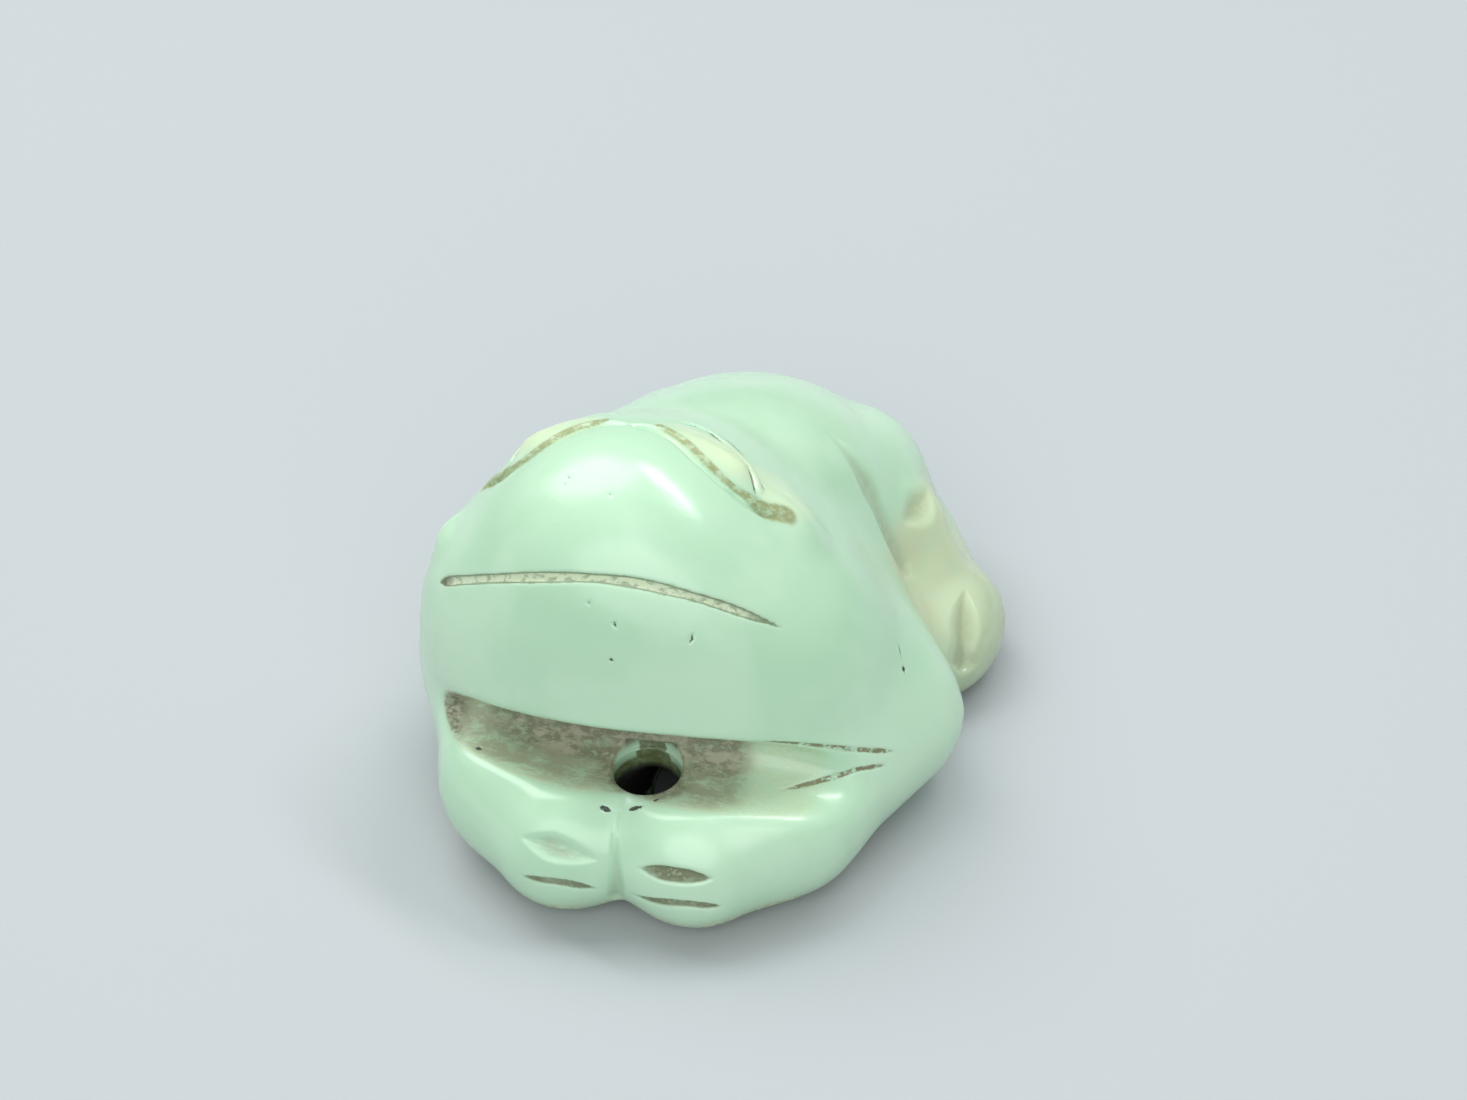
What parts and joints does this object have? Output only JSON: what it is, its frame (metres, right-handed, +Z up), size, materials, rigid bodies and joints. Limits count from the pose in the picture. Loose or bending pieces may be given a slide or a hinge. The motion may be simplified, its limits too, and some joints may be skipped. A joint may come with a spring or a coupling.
{
  "type": "jade toad carving",
  "caption": "Crouching toad carved from pale green jade, with a down-turned mouth line, lidded eyes, toed paws under the chin and a drilled hanging hole.",
  "frame": {"origin": "centre of the bounding box at its bottom, on the surface that the toad rests on", "axes": "+Z up from the flat underside, -Y the way the toad faces, +X to the toad's own left"},
  "size_m": [0.0302, 0.0388, 0.0217],
  "materials": {
    "pale_jade": "polished"
  },
  "bodies": {
    "root": {"jade_toad": "pale_jade"}
  },
  "joints": []
}
